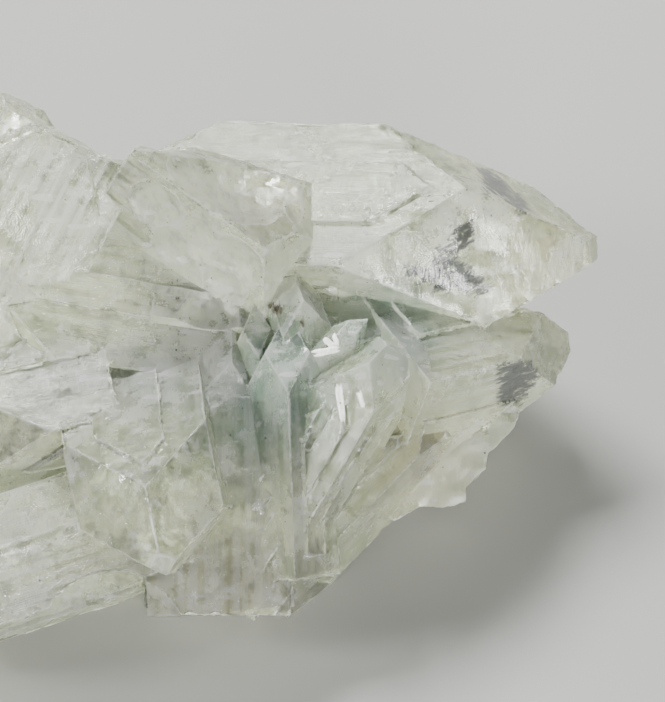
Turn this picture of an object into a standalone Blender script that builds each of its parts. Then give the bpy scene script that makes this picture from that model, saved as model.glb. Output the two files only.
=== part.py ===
"""Apophyllite cluster: tetragonal crystals grown together into one solid, with white zeolite splinters in its pocket.

Run with: blender --background --python part.py

Units are metres in the scene and millimetres in the tables below. +Z is up and the cut base is at Z = 0.
The crystals are laid out in the display frame, as the specimen is shown: right, up and towards the viewer, who
looks down on it at LOOK_DOWN_DEG. Each crystal is a square prism closed by the steep pyramid that sits over its
prism edges, which is the habit of the species, with growth plates on its prism faces.
"""

import math
import random
from collections import namedtuple

import bmesh
import bpy
from mathutils import Matrix, Vector
from mathutils.bvhtree import BVHTree

MM = 0.001
MERGE_M = 2e-6

# Display attitude: how far the viewer looks down, and how high the display origin is above the cut base.
LOOK_DOWN_DEG = 55.0
ORIGIN_HEIGHT_MM = 22.0

# Habit: the angle between the basal plane and a pyramid face.
PYRAMID_DEG = 60.5

# Growth plates: how far one stands out of its prism face, and how far its end stays behind the crystal's tip.
PLATE_RISE_MM = (0.25, 0.7)
PLATE_LAG_MM = (0.6, 9.0)
PLATE_SEED = 11

# A crystal. tip is its nominal apex in the display frame (right, up, towards the viewer). heading turns its long
# axis anticlockwise from right in the display plane, tilt lifts it towards the viewer, roll turns it about itself.
# half gives the distances of its four prism faces from the axis: front, back, low side, high side.
# flat is the depth of the basal face below the nominal apex, 0 for none. plates is its number of growth plates.
# breaks are broken or cleaved ends, each a point and an outward direction in the display frame.
Crystal = namedtuple("Crystal", "name tip heading tilt roll length half flat plates breaks", defaults=((),))

CRYSTALS = [
    # The great crystal to the east, its pyramid face towards the viewer and its root broken off.
    Crystal("east_upper", (36.9, 13.2, -2.0), -2, 14, -30, 64, (14.1, 11.0, 12.3, 9.7), 1.9, 5,
            (((-20.5, 27.0, -2.0), (-0.42, 0.90, 0.10)),)),
    # The lower eastern crystal, sloping down to the table.
    Crystal("east_lower", (32.8, 1.6, -15.0), 13, -34, -40, 32, (7.0, 9.0, 7.0, 13.0), 2.2, 4),
    # The crystal between them, seen in the gap.
    Crystal("east_inner", (18.0, 1.0, -3.6), -8, -4, -30, 42, (6.0, 7.0, 6.0, 6.0), 3.0, 3),
    # The crystal that points to the viewer's feet.
    Crystal("south_main", (-20.6, -27.4, 28.0), -80, 54, 4, 46, (7.2, 9.5, 10.2, 8.4), 0.0, 4),
    # The tall western crystal with its rough basal face.
    Crystal("west_tall", (-25.0, 46.2, 3.0), 62, 7, 14, 53, (10.0, 10.0, 9.3, 9.4), 20.0, 6),
    # The crystal that leans over the pocket from the north, its end broken in shells.
    Crystal("north_mid", (10.9, -0.7, 1.0), -35, -2, -45, 45, (8.0, 8.0, 8.0, 8.0), 0.0, 4,
            (((-5.6, 19.5, 8.0), (0.85, 0.25, 0.45)), ((-12.0, 23.5, 6.0), (0.25, 0.95, 0.16)),
             ((-5.6, 13.5, 9.0), (0.75, -0.42, 0.50)))),
    # Crystals round the pocket.
    Crystal("pocket_kite", (-5.9, 5.1, 7.5), 92, 3, 45, 34, (4.1, 4.0, 4.0, 4.1), 0.0, 1),
    Crystal("pocket_tip", (-5.4, 11.0, 6.5), 97, 8, 20, 22, (3.4, 3.4, 3.4, 3.4), 1.4, 0),
    Crystal("pocket_dark", (-10.1, 6.2, 6.0), 96, 8, 45, 20, (2.6, 2.6, 2.6, 2.6), 0.0, 0),
    Crystal("pocket_wide", (-13.0, 7.0, 4.0), 84, 10, 10, 34, (6.0, 6.0, 6.0, 6.5), 0.0, 2),
    # The striated crystals of the south-eastern flank.
    Crystal("south_east", (9.3, 3.2, 10.0), 60, 10, -22, 42, (4.6, 5.0, 4.0, 7.0), 3.0, 5),
    Crystal("south_east_small", (4.6, 4.2, 9.0), 40, 10, 20, 12, (1.7, 1.7, 1.7, 1.7), 0.0, 0),
    Crystal("south_east_low", (17.4, -4.6, -1.0), 46, 0, -20, 38, (5.0, 6.0, 3.6, 6.5), 6.0, 4),
    # The foot of the cluster, striated down to its cut end.
    Crystal("south_low", (-14.6, -54.3, 2.0), -90, 4, 0, 48, (9.0, 9.0, 9.2, 9.2), 20.0, 6),
    # The crystals of the western side.
    Crystal("south_west", (-65.0, -35.2, 10.0), 198, 12, 10, 54, (8.0, 9.0, 8.0, 8.0), 6.0, 4),
    Crystal("west_mid", (-62.0, -12.0, 2.0), 192, 6, 30, 34, (10.0, 10.0, 10.0, 10.0), 5.0, 4),
    Crystal("west_upper", (-60.0, 12.0, -2.0), 170, 4, 10, 46, (10.0, 9.0, 9.0, 10.0), 0.0, 3),
    # The crystals that lie at the back and in the foot.
    Crystal("back_mid", (-15.0, 24.9, -27.2), 92, -33, 30, 46, (9.0, 9.0, 9.0, 9.0), 4.0, 3),
    Crystal("back_west", (-43.0, 26.0, -26.0), 112, -30, 15, 48, (9.0, 9.0, 8.0, 9.0), 0.0, 3),
    Crystal("back_east", (12.0, 13.0, -26.0), 50, -30, 20, 44, (8.0, 8.0, 8.0, 8.0), 3.0, 3),
    Crystal("foot_west", (-52.0, -9.8, -13.9), 184, 0, 35, 62, (10.0, 10.0, 10.0, 10.0), 4.0, 0),
    Crystal("foot_south", (-6.0, -26.0, -8.0), -70, 20, 35, 44, (9.0, 9.0, 9.0, 9.0), 4.0, 0),
]


def display_turn():
    """Rotation from the display frame (right, up, towards the viewer) to the specimen's own (X, Y, Z)."""
    down = math.radians(LOOK_DOWN_DEG)
    up = Vector((0, math.sin(down), math.cos(down)))
    viewer = Vector((0, -math.cos(down), math.sin(down)))
    return Matrix((Vector((1, 0, 0)), up, viewer)).transposed()


def placed(point_mm):
    """A point of the display frame as a point above the cut base, in metres."""
    return (display_turn() @ Vector(point_mm) + Vector((0, 0, ORIGIN_HEIGHT_MM))) * MM


def crystal_axes(crystal):
    """A crystal's own axes as a rotation: columns are its front face, its low side and its long axis."""
    heading, tilt, roll = (math.radians(a) for a in (crystal.heading, crystal.tilt, crystal.roll))
    axis = Vector((math.cos(tilt) * math.cos(heading), math.cos(tilt) * math.sin(heading), math.sin(tilt)))
    high_side = Vector((-math.sin(heading), math.cos(heading), 0))
    front = axis.cross(high_side)
    turned = Matrix((front, -high_side, axis)).transposed()
    return display_turn() @ turned @ Matrix.Rotation(roll, 3, "Z")


def trim(bm, point, normal):
    """Cuts away what lies beyond a plane and closes the cut."""
    geometry = bm.verts[:] + bm.edges[:] + bm.faces[:]
    bmesh.ops.bisect_plane(bm, geom=geometry, plane_co=point, plane_no=normal, clear_outer=True, dist=1e-7)
    open_edges = [e for e in bm.edges if e.is_boundary]
    if open_edges:
        bmesh.ops.holes_fill(bm, edges=open_edges, sides=0)


def new_object(name, bm):
    """A mesh object made from a bmesh, with its normals facing out."""
    bmesh.ops.recalc_face_normals(bm, faces=bm.faces[:])
    mesh = bpy.data.meshes.new(name)
    bm.to_mesh(mesh)
    bm.free()
    obj = bpy.data.objects.new(name, mesh)
    bpy.context.scene.collection.objects.link(obj)
    return obj


def prism(crystal, half, foot, lag, flat, name):
    """A square prism of the crystal's attitude with its pyramid and basal face, its tip lagging behind the crystal's."""
    front, back, low, high = half
    bm = bmesh.new()
    bmesh.ops.create_cube(bm, size=1.0)
    for v in bm.verts:
        v.co = Vector((front if v.co.x > 0 else -back, low if v.co.y > 0 else -high, 0 if v.co.z > 0 else -foot))
    lean = math.radians(PYRAMID_DEG)
    for x in (-1, 1):
        for y in (-1, 1):
            normal = Vector((x * math.sin(lean) / math.sqrt(2), y * math.sin(lean) / math.sqrt(2), math.cos(lean)))
            trim(bm, Vector((0, 0, -lag)), normal)
    if flat:
        trim(bm, Vector((0, 0, -flat)), Vector((0, 0, 1)))
    place = Matrix.Translation(placed(crystal.tip)) @ crystal_axes(crystal).to_4x4() @ Matrix.Scale(MM, 4)
    bmesh.ops.transform(bm, matrix=place, verts=bm.verts[:])
    for point, normal in crystal.breaks:
        trim(bm, placed(point), display_turn() @ Vector(normal))
    bmesh.ops.remove_doubles(bm, verts=bm.verts[:], dist=MERGE_M)
    return new_object(name, bm)


def crystal_bodies(crystal, rng):
    """A crystal and its growth plates, each plate a thinner prism that stands a little out of one prism face."""
    bodies = [prism(crystal, crystal.half, crystal.length, 0, crystal.flat, crystal.name)]
    for i in range(crystal.plates):
        side = rng.choice([0, 0, 1, 2, 3])
        rise = rng.uniform(*PLATE_RISE_MM)
        lag = rng.uniform(*PLATE_LAG_MM)
        half = list(crystal.half)
        half[side] += rise
        across = (2, 3) if side < 2 else (0, 1)
        width = half[across[0]] + half[across[1]]
        start = rng.uniform(0.03, 0.6) * width
        end = min(start + rng.uniform(0.18, 0.5) * width, 0.97 * width)
        half[across[0]] = end - crystal.half[across[1]]
        half[across[1]] = crystal.half[across[1]] - start
        half[side ^ 1] = crystal.half[side ^ 1] - 1.0
        flat = crystal.flat + rng.uniform(0.3, 2.5) if crystal.flat else 0
        bodies.append(prism(crystal, half, crystal.length - rng.uniform(1, 3), lag, flat, "plate"))
    return bodies


# Chips: conchoidal scoops broken out of the crystals. Each is a point of the surface and the outward direction
# there, both in the display frame, the radius of the scoop and how deep it bites.
Chip = namedtuple("Chip", "point outward radius bite")
NORTH_UPPER = (0.40, 0.58, 0.71)
NORTH_LOWER = (-0.40, -0.58, 0.71)
WEST_END = (0.47, 0.87, 0.12)
SOUTH_RIM = (0.30, -0.90, 0.30)

CHIPS = [
    Chip((-16.8, 23.0, 10.1), NORTH_UPPER, 10.0, 1.0),
    Chip((-12.0, 22.5, 7.6), NORTH_UPPER, 12.0, 1.2),
    Chip((-6.9, 20.7, 5.9), NORTH_UPPER, 9.0, 1.4),
    Chip((-9.5, 18.5, 9.8), NORTH_UPPER, 14.0, 0.8),
    Chip((-5.0, 18.0, 7.4), (0.75, 0.35, 0.55), 4.0, 0.8),
    Chip((-17.2, 14.4, 9.5), NORTH_LOWER, 7.0, 0.8),
    Chip((-22.2, 18.4, 9.9), NORTH_LOWER, 6.0, 0.7),
    Chip((-12.2, 11.2, 9.4), NORTH_LOWER, 6.0, 0.7),
    Chip((-20.0, 13.4, 7.1), NORTH_LOWER, 5.0, 0.5),
    Chip((-14.0, 8.4, 6.4), NORTH_LOWER, 5.0, 0.6),
    Chip((-39.5, 31.2, 6.6), WEST_END, 14.0, 1.2),
    Chip((-34.5, 29.0, -1.0), WEST_END, 16.0, 1.0),
    Chip((-29.5, 25.8, 4.0), WEST_END, 9.0, 0.9),
    Chip((-20.5, 27.0, -2.0), (-0.42, 0.90, 0.10), 12.0, 1.2),
    Chip((-26.0, 24.5, -5.0), (-0.42, 0.90, 0.10), 10.0, 1.0),
    Chip((-29.4, -30.2, 11.6), SOUTH_RIM, 9.0, 0.8),
    Chip((-36.4, -32.7, 13.3), SOUTH_RIM, 15.0, 1.4),
    Chip((-19.6, -34.3, 6.0), (-0.10, -0.99, 0.10), 13.0, 0.9),
    Chip((-9.0, -34.3, 3.0), (0.15, -0.98, 0.10), 9.0, 0.8),
    Chip((-3.8, -35.4, -1.0), (0.40, -0.90, 0.20), 9.0, 1.4),
    Chip((-20.6, -26.6, 27.2), (0.15, -0.60, 0.77), 6.0, 0.5),
    Chip((34.4, 13.2, -2.0), (0.97, 0.00, 0.24), 7.0, 0.5),
]

# The thin broken flange under the eastern crystals: its outline in the display plane and its two depths.
FLANGE_OUTLINE = [
    (4.0, -20.0), (8.1, -22.2), (11.4, -20.6), (16.0, -20.4), (17.4, -19.8), (17.6, -18.0), (19.1, -16.6),
    (20.2, -15.4), (20.5, -13.4), (21.9, -12.1), (23.8, -10.3), (24.6, -7.9), (20.0, -4.0), (12.0, -8.0),
]
FLANGE_DEPTH_MM = (-9.0, -3.5)

CHIP_DETAIL = 3
BASE_REACH_MM = 160.0

# White zeolite splinters that lie in the pocket: each blade has a start and an end in the display plane and a width.
Blade = namedtuple("Blade", "start end width")
SPLINTERS = {
    "white_splinter_spray": [
        Blade((-2.8, 0.0), (1.1, 0.6), 0.7),
        Blade((-2.2, -0.2), (-0.1, 1.8), 0.6),
        Blade((-0.6, 0.9), (-1.0, -1.0), 0.5),
    ],
    "white_splinter_long": [Blade((0.6, -3.6), (1.4, -9.2), 0.9)],
    "white_splinter_short": [Blade((3.3, -5.0), (3.9, -7.2), 0.6)],
}
SPLINTER_GAP_MM = 0.3
SPLINTER_THICKNESS_MM = 0.5

CRYSTAL_COLOUR = (0.52, 0.56, 0.47, 1.0)
CRYSTAL_ROUGHNESS = 0.28
SPLINTER_COLOUR = (0.80, 0.80, 0.76, 1.0)
SPLINTER_ROUGHNESS = 0.55


def flange():
    """The flange as an extruded outline."""
    bm = bmesh.new()
    back, front = FLANGE_DEPTH_MM
    ring = [bm.verts.new(placed((u, v, back))) for u, v in FLANGE_OUTLINE]
    face = bm.faces.new(ring)
    moved = bmesh.ops.extrude_face_region(bm, geom=[face])
    lift = display_turn() @ Vector((0, 0, front - back)) * MM
    bmesh.ops.translate(bm, verts=[g for g in moved["geom"] if isinstance(g, bmesh.types.BMVert)], vec=lift)
    return new_object("flange", bm)


def scoop(chip, rng):
    """A cutter for one conchoidal scoop: a ball, a little out of round."""
    bm = bmesh.new()
    bmesh.ops.create_icosphere(bm, subdivisions=CHIP_DETAIL, radius=chip.radius * MM)
    squash = Matrix.Diagonal((rng.uniform(0.9, 1.15), rng.uniform(0.9, 1.15), rng.uniform(0.9, 1.15), 1))
    turn = Matrix.Rotation(rng.uniform(0, math.pi), 4, Vector((rng.random(), rng.random(), rng.random())))
    centre = Vector(chip.point) + Vector(chip.outward).normalized() * (chip.radius - chip.bite)
    bmesh.ops.transform(bm, matrix=Matrix.Translation(placed(centre)) @ turn @ squash, verts=bm.verts[:])
    return new_object("scoop", bm)


def table_block():
    """A cutter for everything below the cut base."""
    bm = bmesh.new()
    bmesh.ops.create_cube(bm, size=BASE_REACH_MM * MM)
    bmesh.ops.translate(bm, verts=bm.verts[:], vec=Vector((0, 0, -BASE_REACH_MM / 2)) * MM)
    return new_object("table_block", bm)


def boolean(obj, others, operation, group_name, solver="EXACT"):
    """Applies one Boolean with all the other objects together, then sets them aside in a cutter collection."""
    group = bpy.data.collections.new(group_name)
    cutters = bpy.data.collections["cutters"]
    cutters.children.link(group)
    for other in others:
        for owner in list(other.users_collection):
            owner.objects.unlink(other)
        group.objects.link(other)
        other.hide_render = True
        other.display_type = "WIRE"
    modifier = obj.modifiers.new(group_name, "BOOLEAN")
    modifier.operation = operation
    modifier.solver = solver
    modifier.operand_type = "COLLECTION"
    modifier.collection = group
    depsgraph = bpy.context.evaluated_depsgraph_get()
    mesh = bpy.data.meshes.new_from_object(obj.evaluated_get(depsgraph))
    obj.modifiers.clear()
    old = obj.data
    obj.data = mesh
    bpy.data.meshes.remove(old)
    return obj


def depth_of_surface(tree, u, v):
    """How far towards the viewer the cluster's surface lies at a place of the display plane, in millimetres."""
    start = placed((u, v, 90.0))
    hit = tree.ray_cast(start, placed((u, v, 0.0)) - start)[0]
    return 90.0 - (hit - start).length / MM


def splinter(name, blades, tree):
    """Flat pointed blades that overlap, laid just above the crystals under them."""
    shapes = []
    highest = []
    for blade in blades:
        start = Vector(blade.start)
        along = Vector(blade.end) - start
        side = Vector((-along.y, along.x)).normalized() * blade.width / 2
        outline = [start - side * 0.5, start + along * 0.45 - side, start + along - side * 0.25,
                   start + along + side * 0.25, start + along * 0.55 + side, start + side * 0.5]
        shapes.append(outline)
        for step in range(9):
            for across in (-1.2, 0, 1.2):
                spot = start + along * step / 8 + side * across
                highest.append(depth_of_surface(tree, spot.x, spot.y))
    floor = max(highest) + SPLINTER_GAP_MM
    bodies = []
    for i, outline in enumerate(shapes):
        bm = bmesh.new()
        low = floor + 0.06 * i
        face = bm.faces.new([bm.verts.new(placed((p.x, p.y, low))) for p in outline])
        moved = bmesh.ops.extrude_face_region(bm, geom=[face])
        lift = display_turn() @ Vector((0, 0, SPLINTER_THICKNESS_MM)) * MM
        bmesh.ops.translate(bm, verts=[g for g in moved["geom"] if isinstance(g, bmesh.types.BMVert)], vec=lift)
        bodies.append(new_object(name, bm))
    if len(bodies) > 1:
        boolean(bodies[0], bodies[1:], "UNION", name + "_blades")
    return bodies[0]


def outer_skin(bm):
    """Leaves only the outermost surface, so that the gaps enclosed between the crystals' roots are solid."""
    unseen = set(bm.faces)
    skins = []
    while unseen:
        skin = {unseen.pop()}
        border = list(skin)
        while border:
            face = border.pop()
            for edge in face.edges:
                for neighbour in edge.link_faces:
                    if neighbour in unseen:
                        unseen.discard(neighbour)
                        skin.add(neighbour)
                        border.append(neighbour)
        skins.append(skin)
    largest = max(skins, key=len)
    inner = [f for f in bm.faces if f not in largest]
    bmesh.ops.delete(bm, geom=inner, context="FACES")


def tidy(obj):
    """Keeps the outer skin of a joined solid, and merges what lies closer than a few micrometres on it."""
    bm = bmesh.new()
    bm.from_mesh(obj.data)
    outer_skin(bm)
    bmesh.ops.remove_doubles(bm, verts=bm.verts[:], dist=MERGE_M)
    bmesh.ops.dissolve_degenerate(bm, edges=bm.edges[:], dist=MERGE_M)
    bmesh.ops.triangulate(bm, faces=bm.faces[:])
    bm.to_mesh(obj.data)
    bm.free()


def material(name, colour, roughness):
    made = bpy.data.materials.new(name)
    made.use_nodes = True
    shader = made.node_tree.nodes["Principled BSDF"]
    shader.inputs["Base Color"].default_value = colour
    shader.inputs["Roughness"].default_value = roughness
    shader.inputs["Metallic"].default_value = 0.0
    return made


def main():
    for obj in list(bpy.data.objects):
        bpy.data.objects.remove(obj)
    specimen = bpy.data.collections.new("apophyllite_cluster")
    cutters = bpy.data.collections.new("cutters")
    for collection in (specimen, cutters):
        bpy.context.scene.collection.children.link(collection)

    rng = random.Random(PLATE_SEED)
    bodies = []
    for crystal in CRYSTALS:
        bodies += crystal_bodies(crystal, rng)
    cluster = bodies[0]
    cluster.name = "crystal_cluster"
    boolean(cluster, bodies[1:] + [flange()], "UNION", "grown_together")
    scoops = [scoop(chip, rng) for chip in CHIPS]
    # The scoops' balls are nearly tangent to some faces, where the exact solver leaves the solid open.
    boolean(cluster, scoops + [table_block()], "DIFFERENCE", "broken_away", "MANIFOLD")
    tidy(cluster)

    mesh = bmesh.new()
    mesh.from_mesh(cluster.data)
    tree = BVHTree.FromBMesh(mesh)
    mesh.free()
    parts = [cluster]
    for name, blades in SPLINTERS.items():
        parts.append(splinter(name, blades, tree))

    low = [min(v.co[i] for v in cluster.data.vertices) for i in range(3)]
    high = [max(v.co[i] for v in cluster.data.vertices) for i in range(3)]
    centring = Vector((-(low[0] + high[0]) / 2, -(low[1] + high[1]) / 2, 0))
    print("centring", [round(c / MM, 4) for c in centring])
    crystal_look = material("apophyllite", CRYSTAL_COLOUR, CRYSTAL_ROUGHNESS)
    splinter_look = material("white_zeolite", SPLINTER_COLOUR, SPLINTER_ROUGHNESS)
    for obj in parts:
        obj.data.transform(Matrix.Translation(centring))
        for owner in list(obj.users_collection):
            owner.objects.unlink(obj)
        specimen.objects.link(obj)
        obj.data.materials.clear()
        obj.data.materials.append(crystal_look if obj is cluster else splinter_look)


main()
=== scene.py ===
"""Looks of the apophyllite cluster: the crystals' fine surface, their glassy frosted stone, the veils inside
them, the white splinters in the pocket, a pale floor, soft studio light and the camera.

Lengths in the tables are millimetres of the display frame, as the specimen is shown: right, up, towards the
viewer.
"""

import math

import bmesh
import bpy
import numpy as np
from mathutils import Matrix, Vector
from mathutils.geometry import delaunay_2d_cdt
from mathutils.kdtree import KDTree


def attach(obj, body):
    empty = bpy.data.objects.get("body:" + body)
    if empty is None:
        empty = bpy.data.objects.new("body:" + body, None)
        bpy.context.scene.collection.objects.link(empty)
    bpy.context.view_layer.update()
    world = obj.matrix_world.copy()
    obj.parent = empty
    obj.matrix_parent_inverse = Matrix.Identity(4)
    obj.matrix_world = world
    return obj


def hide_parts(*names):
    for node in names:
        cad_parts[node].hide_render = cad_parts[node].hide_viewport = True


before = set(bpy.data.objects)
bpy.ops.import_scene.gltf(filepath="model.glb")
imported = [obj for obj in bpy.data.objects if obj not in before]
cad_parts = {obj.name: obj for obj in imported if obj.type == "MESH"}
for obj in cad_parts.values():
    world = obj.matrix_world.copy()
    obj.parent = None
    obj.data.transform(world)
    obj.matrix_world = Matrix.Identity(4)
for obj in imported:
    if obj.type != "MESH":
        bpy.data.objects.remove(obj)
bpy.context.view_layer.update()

MM = 0.001
LOOK_DOWN = math.radians(55.0)
DISPLAY_ORIGIN = np.array([13.0479, 0.7675, 22.0]) * MM
CAMERA_DISTANCE = 0.45
PICTURE_SCALE = 0.13 * MM
PICTURE_HEIGHT = 702
PYRAMID_LEAN = math.radians(60.5)
MERGE_DISTANCE = 0.002 * MM
FLAT_ANGLE = math.radians(0.1)
EDGE_STEP = 0.45 * MM
FACE_STEP = 0.72 * MM
RIM_WIDTH = 0.17 * MM
PLATE_RISE_MM = 0.8
SHARP_EDGE = math.radians(14)
SHADED_EDGE = math.radians(24)

# The crystals: nominal tip, heading, tilt and roll of the axis, length, distances of the four prism faces.
CRYSTALS = {
    "east_upper": ((36.9, 13.2, -2.0), -2, 14, -30, 64, (14.1, 11.0, 12.3, 9.7)),
    "east_lower": ((32.8, 1.6, -15.0), 13, -34, -40, 32, (7.0, 9.0, 7.0, 13.0)),
    "east_inner": ((18.0, 1.0, -3.6), -8, -4, -30, 42, (6.0, 7.0, 6.0, 6.0)),
    "south_main": ((-20.6, -27.4, 28.0), -80, 54, 4, 46, (7.2, 9.5, 10.2, 8.4)),
    "west_tall": ((-25.0, 46.2, 3.0), 62, 7, 14, 53, (10.0, 10.0, 9.3, 9.4)),
    "north_mid": ((10.9, -0.7, 1.0), -35, -2, -45, 45, (8.0, 8.0, 8.0, 8.0)),
    "pocket_kite": ((-5.9, 5.1, 7.5), 92, 3, 45, 34, (4.1, 4.0, 4.0, 4.1)),
    "pocket_tip": ((-5.4, 11.0, 6.5), 97, 8, 20, 22, (3.4, 3.4, 3.4, 3.4)),
    "pocket_dark": ((-10.1, 6.2, 6.0), 96, 8, 45, 20, (2.6, 2.6, 2.6, 2.6)),
    "pocket_wide": ((-13.0, 7.0, 4.0), 84, 10, 10, 34, (6.0, 6.0, 6.0, 6.5)),
    "south_east": ((9.3, 3.2, 10.0), 60, 10, -22, 42, (4.6, 5.0, 4.0, 7.0)),
    "south_east_small": ((4.6, 4.2, 9.0), 40, 10, 20, 12, (1.7, 1.7, 1.7, 1.7)),
    "south_east_low": ((17.4, -4.6, -1.0), 46, 0, -20, 38, (5.0, 6.0, 3.6, 6.5)),
    "south_low": ((-14.6, -54.3, 2.0), -90, 4, 0, 48, (9.0, 9.0, 9.2, 9.2)),
    "south_west": ((-65.0, -35.2, 10.0), 198, 12, 10, 54, (8.0, 9.0, 8.0, 8.0)),
    "west_mid": ((-62.0, -12.0, 2.0), 192, 6, 30, 34, (10.0, 10.0, 10.0, 10.0)),
    "west_upper": ((-60.0, 12.0, -2.0), 170, 4, 10, 46, (10.0, 9.0, 9.0, 10.0)),
    "back_mid": ((-15.0, 24.9, -27.2), 92, -33, 30, 46, (9.0, 9.0, 9.0, 9.0)),
    "back_west": ((-43.0, 26.0, -26.0), 112, -30, 15, 48, (9.0, 9.0, 8.0, 9.0)),
    "back_east": ((12.0, 13.0, -26.0), 50, -30, 20, 44, (8.0, 8.0, 8.0, 8.0)),
    "foot_west": ((-52.0, -9.8, -13.9), 184, 0, 35, 62, (10.0, 10.0, 10.0, 10.0)),
    "foot_south": ((-6.0, -26.0, -8.0), -70, 20, 35, 44, (9.0, 9.0, 9.0, 9.0)),
}

DISPLAY = np.array([
    [1, 0, 0],
    [0, math.sin(LOOK_DOWN), -math.cos(LOOK_DOWN)],
    [0, math.cos(LOOK_DOWN), math.sin(LOOK_DOWN)],
])


def placed(points):
    """Display millimetres to model metres: the display axes turned, then the display origin added."""
    return np.asarray(points, float) @ DISPLAY.T * MM + DISPLAY_ORIGIN


def shown(points):
    """Model metres to display millimetres, the inverse of placed."""
    return (np.asarray(points) - DISPLAY_ORIGIN) @ DISPLAY / MM


def crystal_axes(heading, tilt, roll):
    """Columns: the crystal's front, its low side and its long axis, in the model's frame."""
    heading, tilt, roll = (math.radians(a) for a in (heading, tilt, roll))
    axis = np.array([math.cos(tilt) * math.cos(heading), math.cos(tilt) * math.sin(heading), math.sin(tilt)])
    low = np.array([math.sin(heading), -math.cos(heading), 0.0])
    front = np.cross(axis, -low)
    across = np.stack([front * math.cos(roll) + low * math.sin(roll),
                       low * math.cos(roll) - front * math.sin(roll), axis], 1)
    return DISPLAY @ across


def grain(points, size, seed):
    """Smooth value noise from -1 to 1: hashed values at the corners of a cubic lattice of the given cell
    size, blended across each cell with the smooth step 3t^2 - 2t^3."""
    p = points / size + seed * 17.31
    cell = np.floor(p).astype(np.int64)
    t = p - cell
    t = t * t * (3 - 2 * t)
    total = np.zeros(len(p))
    for corner in range(8):
        step = np.array([corner & 1, corner >> 1 & 1, corner >> 2 & 1])
        c = cell + step
        h = (c[:, 0] * 73856093 ^ c[:, 1] * 19349663 ^ c[:, 2] * 83492791 ^ seed * 2654435761) & 0xFFFFFFFF
        h = (h ^ h >> 15) * 2246822519 & 0xFFFFFFFF
        h = (h ^ h >> 13) * 3266489917 & 0xFFFFFFFF
        value = (h ^ h >> 16 & 0xFFFF).astype(float) / 0xFFFFFFFF * 2 - 1
        total += value * np.prod(np.where(step, t, 1 - t), axis=1)
    return total


def cluster_facets(node):
    """A merged copy of the joined crystals' surface, with the seams inside each flat facet dissolved."""
    bm = bmesh.new()
    bm.from_mesh(node.data)
    bmesh.ops.remove_doubles(bm, verts=bm.verts[:], dist=MERGE_DISTANCE)
    bmesh.ops.dissolve_degenerate(bm, edges=bm.edges[:], dist=MERGE_DISTANCE)
    bmesh.ops.dissolve_limit(bm, angle_limit=FLAT_ANGLE, verts=bm.verts[:], edges=bm.edges[:])
    bm.normal_update()
    bm.verts.index_update()
    bm.edges.index_update()
    bm.faces.index_update()
    return bm


def facet_owners(centres, normals):
    """For each facet the crystal whose prism or pyramid plane it lies in: its centre is within the plate rise
    of that plane, its normal within about a degree of the plane's. Returns the crystal's number, -1 for a
    broken facet, and the side, 0 to 3 for the prism faces, 4 for a pyramid and 5 for a broken facet."""
    owner = np.full(len(centres), -1)
    side = np.full(len(centres), 5)
    best = np.full(len(centres), 1e9)
    for number, (tip, heading, tilt, roll, length, half) in enumerate(CRYSTALS.values()):
        axes = crystal_axes(heading, tilt, roll)
        p = (centres - placed(tip)) @ axes / MM
        n = normals @ axes
        inside = (p[:, 2] < 1) & (p[:, 2] > -length - 1)
        for k, (axis, sign) in enumerate(((0, 1), (0, -1), (1, 1), (1, -1))):
            off = p[:, axis] * sign - half[k]
            fits = inside & (n[:, axis] * sign > 0.9999) & (off > -0.05) & (off < PLATE_RISE_MM)
            fits &= (np.abs(off) < best) & (np.abs(p[:, 1 - axis]) < max(half) + PLATE_RISE_MM)
            owner[fits], side[fits], best[fits] = number, k, np.abs(off)[fits]
        lean = np.abs(n[:, 2] - math.cos(PYRAMID_LEAN)) < 0.01
        lean &= np.abs(np.abs(n[:, 0]) - np.abs(n[:, 1])) < 0.02
        ring = np.abs(p[:, 2] + 1.25 * (np.abs(p[:, 0]) + np.abs(p[:, 1])))
        rank = ring * 0.1 + 0.3
        fits = inside & lean & (ring < 18) & (rank < best)
        owner[fits], side[fits], best[fits] = number, 4, rank[fits]
    return owner, side


def inside_outline(points, outline):
    """Which points lie inside a closed outline, by counting how many of its sides a ray to the right crosses,
    and each point's distance from the nearest side."""
    a = outline
    b = np.roll(outline, -1, axis=0)
    x, y = points[:, :1], points[:, 1:]
    rising = (a[:, 1] > y) != (b[:, 1] > y)
    height = np.where(b[:, 1] == a[:, 1], 1e-12, b[:, 1] - a[:, 1])
    meets = x < (b[:, 0] - a[:, 0]) * (y - a[:, 1]) / height + a[:, 0]
    inside = (rising & meets).sum(1) % 2 == 1
    run = b - a
    length = np.maximum((run ** 2).sum(1), 1e-18)
    t = np.clip(((x - a[:, 0]) * run[:, 0] + (y - a[:, 1]) * run[:, 1]) / length, 0, 1)
    gap = np.hypot(x - a[:, 0] - t * run[:, 0], y - a[:, 1] - t * run[:, 1]).min(1)
    return inside, gap


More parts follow.
